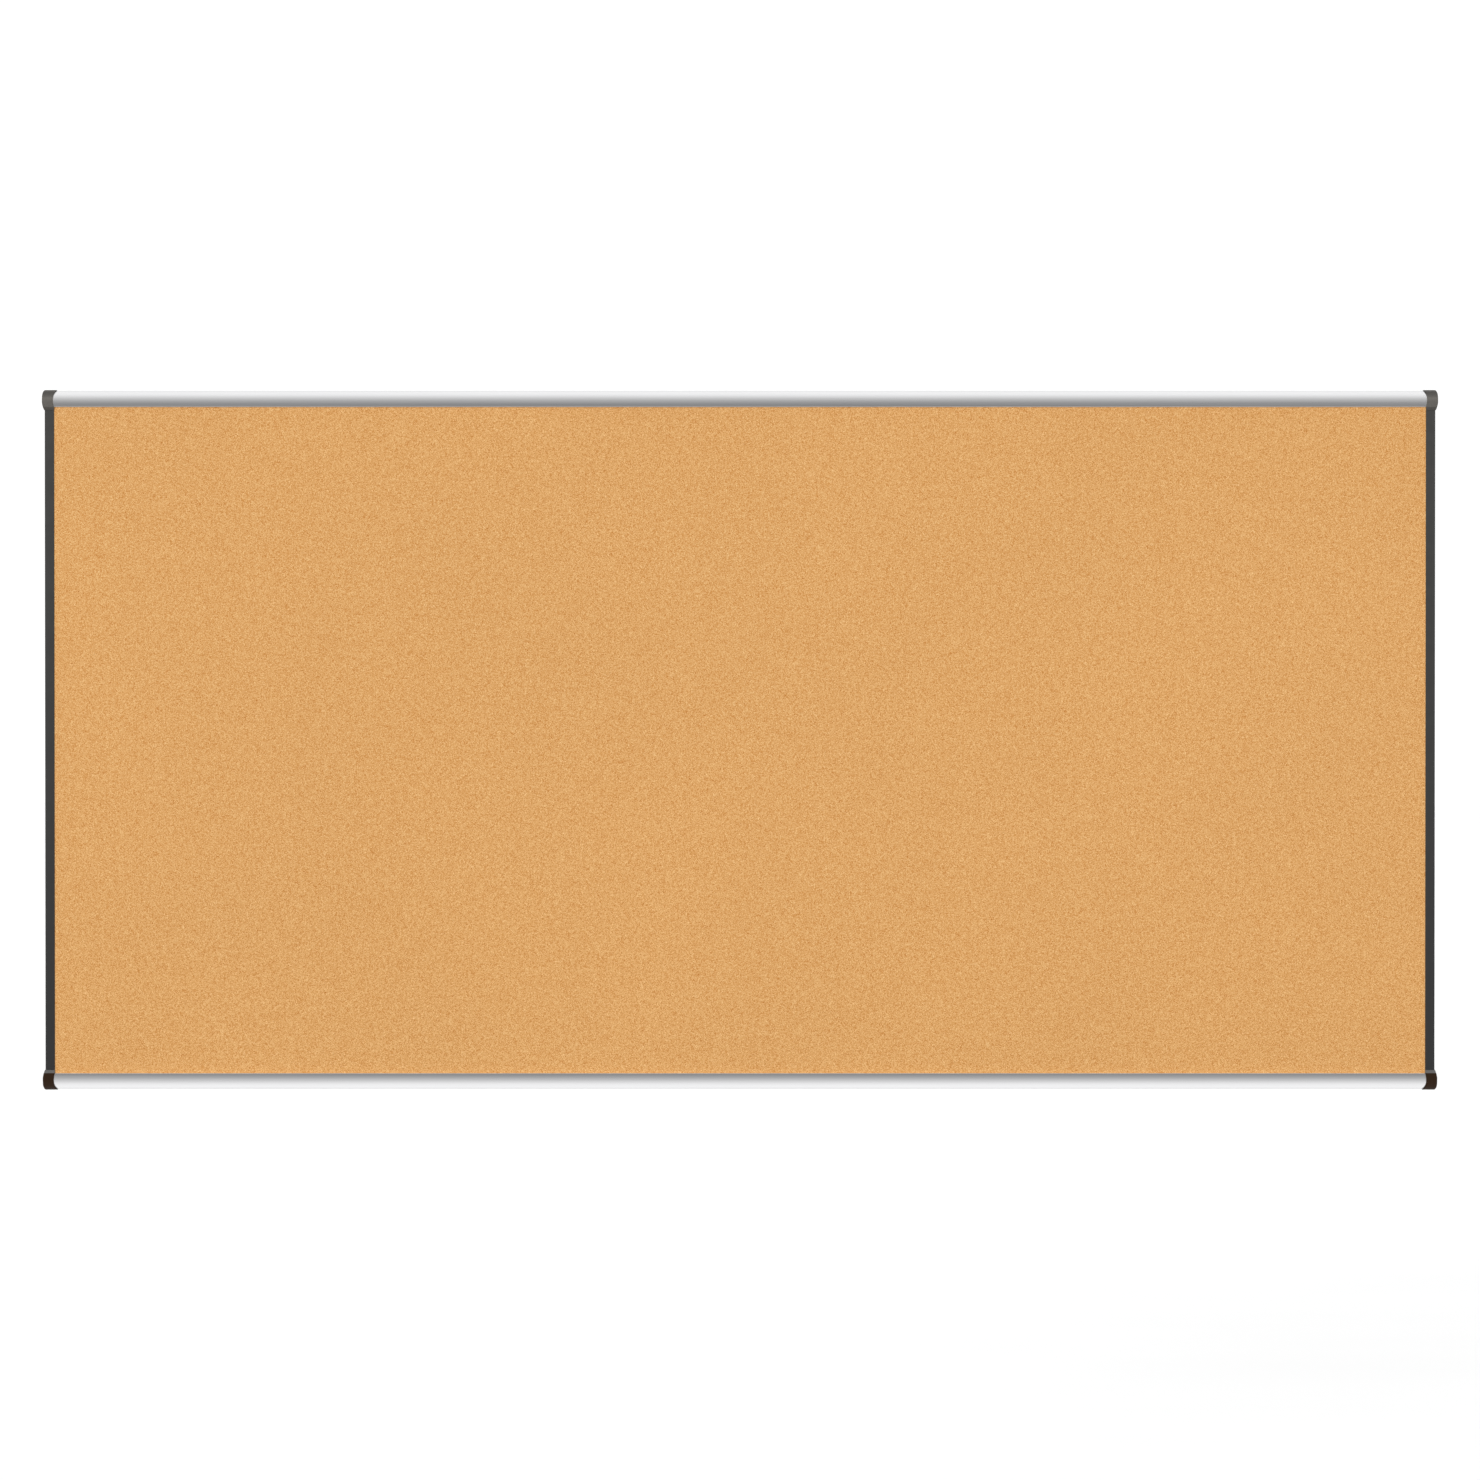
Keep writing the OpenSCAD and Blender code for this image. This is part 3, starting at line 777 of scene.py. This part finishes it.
def zinc_steel():
    """Bright zinc plate: a cool, faintly mottled metal."""
    t = Surface("zinc_steel")
    mottle = t.noise(240.0, 4.0, roughness=0.6)
    colour = t.ramp(mottle, [
        (0.38, (0.615, 0.628, 0.638)), (0.5, (0.68, 0.69, 0.69)), (0.62, (0.73, 0.725, 0.705))])
    rolled = t.noise(1.0, 3.0, t.scaled(90.0, 1400.0, 1400.0))
    return t.finish(Base_Color=colour, Metallic=1.0, Roughness=t.ranged(mottle, 0.3, 0.7, 0.26, 0.42),
                    Normal=t.bump(rolled, 0.08, 0.03 * MM, t.soft_edges(0.15 * MM)))


def black_steel():
    """Black oxide screws, rubbed brighter along their edges."""
    t = Surface("black_steel")
    soft = t.soft_edges(0.2 * MM)
    flat = t.add("ShaderNodeNewGeometry").outputs["Normal"]
    edges = t.ranged(t.straightness(soft, flat), 0.8, 0.99, 1.0, 0.0)
    wear = t.maths("MULTIPLY", edges, t.ranged(t.noise(900.0), 0.4, 0.6, 0.1, 0.8))
    colour = t.mix(wear, (0.055, 0.055, 0.060, 1.0), (0.34, 0.34, 0.35, 1.0))
    rough = t.ranged(t.noise(700.0), 0.3, 0.7, 0.32, 0.5)
    return t.finish(Base_Color=colour, Metallic=0.85, Roughness=rough, Normal=soft)


def backing():
    """Brown kraft balancing sheet: short fibres, faint lengthwise streaks and a few flecks of bark."""
    t = Surface("backing")
    fibres = t.noise(420.0, 5.0, roughness=0.7)
    streaks = t.noise(1.0, 3.0, t.scaled(6.0, 6.0, 260.0), 0.55)
    cloud = t.noise(4.0, 4.0, roughness=0.6)
    value = t.maths("ADD", t.maths("MULTIPLY", fibres, 0.5), t.maths("MULTIPLY", streaks, 0.2))
    value = t.maths("ADD", value, t.maths("MULTIPLY", cloud, 0.3))
    colour = t.ramp(value, [
        (0.36, (0.225, 0.140, 0.078)), (0.5, (0.292, 0.190, 0.110)), (0.64, (0.360, 0.245, 0.150))])
    near = t.cells(150.0, t.wandering(300.0, 3.0 * MM))
    flecks = t.ranged(near.outputs["Distance"], 0.04, 0.12, 0.45, 0.0)
    kept = t.ranged(t.channel(near.outputs["Color"], "Red"), 0.55, 0.60, 0.0, 1.0)
    colour = t.mix(t.maths("MULTIPLY", flecks, kept), colour, (0.120, 0.068, 0.036, 1.0))
    rough = t.ranged(cloud, 0.3, 0.7, 0.78, 0.92)
    return t.finish(Base_Color=colour, Roughness=rough, Specular_IOR_Level=0.2,
                    Normal=t.bump(value, 0.15, 0.10 * MM))


def fibreboard():
    """Softboard core, seen only at its edges: matted fibres in layers."""
    t = Surface("fibreboard")
    fibres = t.noise(1.0, 6.0, t.scaled(300.0, 900.0, 300.0), 0.7)
    colour = t.ramp(fibres, [
        (0.3, (0.20, 0.12, 0.065)), (0.55, (0.36, 0.235, 0.135)), (0.75, (0.47, 0.33, 0.20))])
    return t.finish(Base_Color=colour, Roughness=0.95, Normal=t.bump(fibres, 0.5, 0.3 * MM))


# ---------------------------------------------------------------------------------------------------------
# Pieces


def build_cork():
    """The cork face: a sheet whose front carries the faint unevenness of a hand-laid face."""
    low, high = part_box("cork_sheet")
    columns, rows = 240, 118
    edge, lowest = 0.4 * MM, 0.06 * MM
    bm = bmesh.new()

    def spot(i, j):
        x = low.x + (high.x - low.x) * i / columns
        z = low.z + (high.z - low.z) * j / rows
        inner = 0 < i < columns and 0 < j < rows
        wide, small = noise.noise(Vector((x, 0.0, z)) * 26.0), noise.noise(Vector((x, 3.0, z)) * 70.0)
        lift = wide * 0.5 + small * 0.3
        return Vector((x, low.y + (lowest * (1 + lift) if inner else edge), z))

    front = [[bm.verts.new(spot(i, j)) for j in range(rows + 1)] for i in range(columns + 1)]
    for i in range(columns):
        for j in range(rows):
            bm.faces.new((front[i][j], front[i + 1][j], front[i + 1][j + 1], front[i][j + 1]))
    rim = [front[i][0] for i in range(columns)] + [front[columns][j] for j in range(rows)]
    rim += [front[i][rows] for i in range(columns, 0, -1)] + [front[0][j] for j in range(rows, 0, -1)]
    back = [bm.verts.new((v.co.x, high.y, v.co.z)) for v in rim]
    for i in range(len(rim)):
        j = (i + 1) % len(rim)
        bm.faces.new((rim[i], back[i], back[j], rim[j]))
    bm.faces.new(back)
    bmesh.ops.recalc_face_normals(bm, faces=bm.faces[:])
    return as_object("cork_face", bm)


def build_rails(material):
    rail = as_object("top_rail_extrusion", prism(rail_loops(), at_top, RAIL_LOW.x, RAIL_HIGH.x))
    lower = mirrored(rail, "bottom_rail_extrusion", 1, -1)
    finished(rail, material, "board", "satin_aluminium", "top_rail")
    finished(lower, material, "board", "satin_aluminium", "bottom_rail")


def build_trims(material):
    trim = as_object("right_trim_channel", prism(trim_loops(), at_right, TRIM_LOW.z, TRIM_HIGH.z))
    other = mirrored(trim, "left_trim_channel", -1, 1)
    finished(trim, material, "board", "charcoal_trim", "right_trim")
    finished(other, material, "board", "charcoal_trim", "left_trim")


def build_caps(upper, lower):
    cap = build_cap()
    for name, x, z, material in (
        ("top_right_cap", 1, 1, upper), ("top_left_cap", -1, 1, upper),
        ("bottom_right_cap", 1, -1, lower), ("bottom_left_cap", -1, -1, lower),
    ):
        finished(mirrored(cap, name + "_moulding", x, z), material, "board", "black_plastic", name)
    bpy.data.objects.remove(cap)


def build_screws(zinc, black):
    rear = screw(head_r=3.2, head_h=1.9, shank_r=1.5, length=10.0)
    away = Matrix.Rotation(math.radians(-90), 4, "X")
    for node in ("rail_screws", "trim_screws"):
        places = []
        for low, high in solids_of(node):
            centre = (low + high) / 2
            twist = Matrix.Rotation(math.tau * math.sin(centre.x * 37 + centre.z * 91), 4, "Z")
            places.append(Matrix.Translation((centre.x, -BACK_P * MM, centre.z)) @ away @ twist)
        screws = scattered(rear, node.replace("screws", "screw_set"), places)
        finished(screws, zinc, "board", "zinc_steel", node)
    bpy.data.objects.remove(rear)
    long_screw = screw(head_r=3.9, head_h=2.6, shank_r=2.0, length=25.0)
    places = []
    for low, high in solids_of("cap_screws"):
        centre = (low + high) / 2
        side = 1 if centre.x > 0 else -1
        seat = Vector((side * (SIDE_X - RECESS_U) * MM, centre.y, centre.z))
        twist = Matrix.Rotation(math.tau * math.sin(seat.x * 5 + seat.z * 9), 4, "Z")
        places.append(Matrix.Translation(seat) @ Matrix.Rotation(side * math.pi / 2, 4, "Y") @ twist)
    screws = scattered(long_screw, "cap_screw_set", places)
    finished(screws, black, "board", "black_steel", "cap_screws")
    bpy.data.objects.remove(long_screw)


def build_hangers(material):
    for body, nodes in frame["record"]["behaviour"]["bodies"].items():
        for node in nodes:
            if node.endswith("hanger"):
                finished(build_hanger(node), material, body, "zinc_steel", node)


def dress_hidden(node, material):
    """A CAD node whose plain sheet shape is right keeps it and takes a material."""
    obj = frame["nodes"][node]
    obj.data.materials.clear()
    obj.data.materials.append(material)


finished(build_cork(), cork(), "board", "cork", "cork_sheet")
build_rails(satin_aluminium())
build_trims(charcoal_trim())
# Painted light and shade by slope: the upper caps get a dark top and a painted highlight band, and the
# lower caps a lighter lower edge.
UPPER_PAINTED_SHADING = [
    (-0.9, 0.64), (-0.3, 0.98), (0.22, 0.94), (0.40, 1.16), (0.58, 0.72), (0.78, 0.50), (1.0, 0.62)]
LOWER_PAINTED_SHADING = [(-0.8, 1.2), (-0.3, 1.0)]
# Painted light and shade: one moulding, with a lighter copy of the plastic for the upper caps and a much
# darker copy for the lower caps, standing for light from above.
painted_lit_plastic = black_plastic(
    "cap_plastic_painted_lit", tone=(0.128, 0.120, 0.109), gloss=0.14, painted_top_light=0.05, painted_shading=UPPER_PAINTED_SHADING)
painted_shade_plastic = black_plastic(
    "cap_plastic_painted_shade", tone=(0.030, 0.016, 0.0085), gloss=0.10, painted_top_light=0.95, painted_shading=LOWER_PAINTED_SHADING)
build_caps(painted_lit_plastic, painted_shade_plastic)
zinc = zinc_steel()
build_screws(zinc, black_steel())
build_hangers(zinc)
dress_hidden("backing_sheet", backing())
dress_hidden("fibreboard_core", fibreboard())


# ---------------------------------------------------------------------------------------------------------
# Studio


def build_floor():
    """A plain pale floor, 1.8 m below the board's centre. Mirror-like parts don't see it."""
    floor_z, half = -1.8, 60.0
    bm = bmesh.new()
    bm.faces.new([bm.verts.new((x, y, floor_z)) for x, y in rectangle(-half, -half, half, half)])
    floor = as_object("floor", bm)
    t = Surface("pale_floor")
    tone = t.ramp(t.noise(0.8, 3.0), [(0.3, (0.95, 0.95, 0.95)), (0.7, (0.97, 0.97, 0.97))])
    floor.data.materials.append(t.finish(Base_Color=tone, Roughness=0.9))
    floor.visible_glossy = floor.visible_diffuse = False


CARD_RISE = 0.07                    # how far the card in front tips up
CARD_EDGE, CARD_DARK = 2.4, 0.73    # how fast it falls off sideways, and how dark its middle is
METAL_SIDE, METAL_STEEP = 0.825, 0.33  # what metal sees level, and how much more above and below
MATT_MIDDLE, MATT_UP = 0.32, 0.30   # what lights matt surfaces level, and how much more from above
BACKGROUND = 1.08


def build_world():
    """A white studio: a white background, a soft grey card in front that only metal sees, and a little more
    light for matt surfaces from above than from below."""
    world = bpy.data.worlds.new("studio")
    bpy.context.scene.world = world
    world.use_nodes = True
    t = Tree(world.node_tree)
    t.tree.nodes.clear()
    direction = t.add("ShaderNodeTexCoord").outputs["Generated"]
    split = t.add("ShaderNodeSeparateXYZ", {0: direction}).outputs
    rise = t.maths("MULTIPLY", split["Z"], CARD_RISE)
    forward = t.maths("MAXIMUM", t.maths("SUBTRACT", rise, split["Y"]), 0.0)
    steep = t.maths("ABSOLUTE", split["Z"])
    card = t.maths("SUBTRACT", 1.0, t.maths("MULTIPLY", t.maths("POWER", forward, CARD_EDGE), CARD_DARK))
    metal = t.maths("MULTIPLY", t.maths("ADD", METAL_SIDE, t.maths("MULTIPLY", steep, METAL_STEEP)), card)
    matt = t.maths("ADD", MATT_MIDDLE, t.maths("MULTIPLY", split["Z"], MATT_UP))
    rays = t.add("ShaderNodeLightPath").outputs
    lit = t.add("ShaderNodeMix", {0: rays["Is Glossy Ray"], 2: matt, 3: metal}, data_type="FLOAT")
    inputs = {0: rays["Is Camera Ray"], 2: lit.outputs[0], 3: BACKGROUND}
    seen = t.add("ShaderNodeMix", inputs, data_type="FLOAT")
    background = t.add("ShaderNodeBackground", {"Color": (1.0, 1.0, 1.0, 1.0), "Strength": seen.outputs[0]})
    t.add("ShaderNodeOutputWorld", {"Surface": background.outputs[0]})


def add_sun(name, azimuth, elevation, energy, softness):
    """A soft distant lamp that lights matt surfaces only. Azimuth 0 is in front, and 90 is on the right."""
    light = bpy.data.lights.new(name, "SUN")
    light.energy, light.angle = energy, math.radians(softness)
    lamp = bpy.data.objects.new(name, light)
    a, e = math.radians(azimuth), math.radians(elevation)
    towards = Vector((math.sin(a) * math.cos(e), -math.cos(a) * math.cos(e), math.sin(e)))
    lamp.rotation_euler = towards.to_track_quat("Z", "Y").to_euler()
    lamp.visible_glossy = False
    bpy.context.scene.collection.objects.link(lamp)


def add_camera():
    """Nearly square to the board, from far off and a touch above its centre."""
    distance, tilt, frame_share, aim_rise = 20.0, math.radians(1.3), 0.9430, 0.6 * MM
    centre = Vector((0.0, cad_box[0].y, aim_rise))
    data = bpy.data.cameras.new("camera")
    camera = bpy.data.objects.new("camera", data)
    bpy.context.scene.collection.objects.link(camera)
    camera.location = centre + Vector((0.0, -math.cos(tilt), math.sin(tilt))) * distance
    camera.rotation_euler = (centre - camera.location).to_track_quat("-Z", "Y").to_euler()
    data.sensor_width = 36.0
    data.lens = data.sensor_width * distance * frame_share / (cad_box[1].x - cad_box[0].x)
    bpy.context.scene.camera = camera


build_floor()
build_world()
add_sun("key", azimuth=-10, elevation=6, energy=2.30, softness=16)
add_sun("behind", azimuth=160, elevation=45, energy=2.2, softness=40)
add_camera()
bpy.context.scene.view_settings.view_transform = "Standard"
bpy.context.scene.cycles.denoising_prefilter = "NONE"
